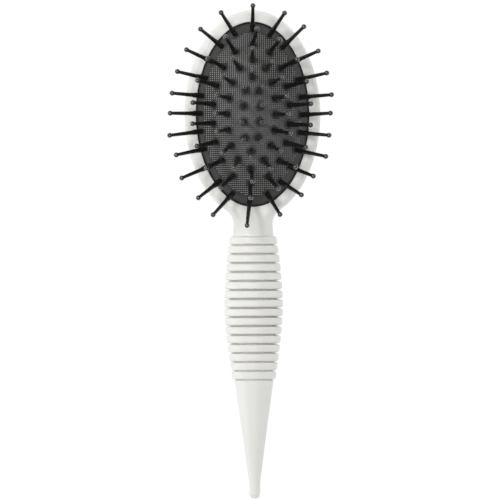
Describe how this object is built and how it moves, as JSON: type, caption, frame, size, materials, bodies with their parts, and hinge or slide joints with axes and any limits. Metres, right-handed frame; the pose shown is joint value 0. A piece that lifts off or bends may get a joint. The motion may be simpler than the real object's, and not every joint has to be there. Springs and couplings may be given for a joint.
{
  "type": "hairbrush",
  "caption": "Oval air-cushion hairbrush: a domed rubber pad carries rings of splayed ball-tipped pins, in a white moulded head with a ribbed barrel grip and a tapering tail.",
  "frame": {"origin": "under the middle of the brush's overall length and width, on the surface it lies on", "axes": "+X across the brush, +Y along it from the tail to the head, +Z the way the pins point"},
  "size_m": [0.0817, 0.2423, 0.0546],
  "materials": {
    "shell": "satin white",
    "pad": "matte black, fine raised dots",
    "ring": "matte, hidden",
    "pins": "gloss black"
  },
  "bodies": {
    "handle": {"front_shell": "shell", "back_shell": "shell", "cushion_pad": "pad", "clamp_ring": "ring"},
    "inner_ring": {"inner_pin_01": "pins", "inner_pin_02": "pins", "inner_pin_03": "pins", "inner_pin_04": "pins", "inner_pin_05": "pins", "inner_pin_06": "pins", "inner_pin_07": "pins", "inner_pin_08": "pins", "inner_pin_09": "pins", "inner_pin_10": "pins"},
    "third_ring": {"third_pin_01": "pins", "third_pin_02": "pins", "third_pin_03": "pins", "third_pin_04": "pins", "third_pin_05": "pins", "third_pin_06": "pins", "third_pin_07": "pins", "third_pin_08": "pins", "third_pin_09": "pins", "third_pin_10": "pins", "third_pin_11": "pins", "third_pin_12": "pins", "third_pin_13": "pins", "third_pin_14": "pins", "third_pin_15": "pins", "third_pin_16": "pins"},
    "second_ring": {"second_pins_01": "pins", "second_pins_02": "pins", "second_pins_03": "pins", "second_pins_04": "pins", "second_pins_05": "pins", "second_pins_06": "pins", "second_pins_07": "pins", "second_pins_08": "pins", "second_pins_09": "pins", "second_pins_10": "pins"},
    "outer_ring": {"outer_pins_01": "pins", "outer_pins_02": "pins", "outer_pins_03": "pins", "outer_pins_04": "pins", "outer_pins_05": "pins", "outer_pins_06": "pins", "outer_pins_07": "pins", "outer_pins_08": "pins", "outer_pins_09": "pins", "outer_pins_10": "pins", "outer_pins_11": "pins", "outer_pins_12": "pins", "outer_pins_13": "pins"}
  },
  "joints": [
    {"name": "cushion_press", "type": "slide", "parent": "handle", "child": "inner_ring", "axis": [0, 0, 1], "range_m": [-0.006, 0], "stiffness_N_per_m": 2000, "deforming": ["cushion_pad"]},
    {"name": "third_press", "type": "slide", "parent": "handle", "child": "third_ring", "axis": [0, 0, 1], "range_m": [-0.00543, 0]},
    {"name": "second_press", "type": "slide", "parent": "handle", "child": "second_ring", "axis": [0, 0, 1], "range_m": [-0.00443, 0]},
    {"name": "outer_press", "type": "slide", "parent": "handle", "child": "outer_ring", "axis": [0, 0, 1], "range_m": [-0.00276, 0]}
  ],
  "couplings": [
    {"joint": "third_press", "follows": "cushion_press", "ratio": 0.9037},
    {"joint": "second_press", "follows": "cushion_press", "ratio": 0.7366},
    {"joint": "outer_press", "follows": "cushion_press", "ratio": 0.459}
  ]
}
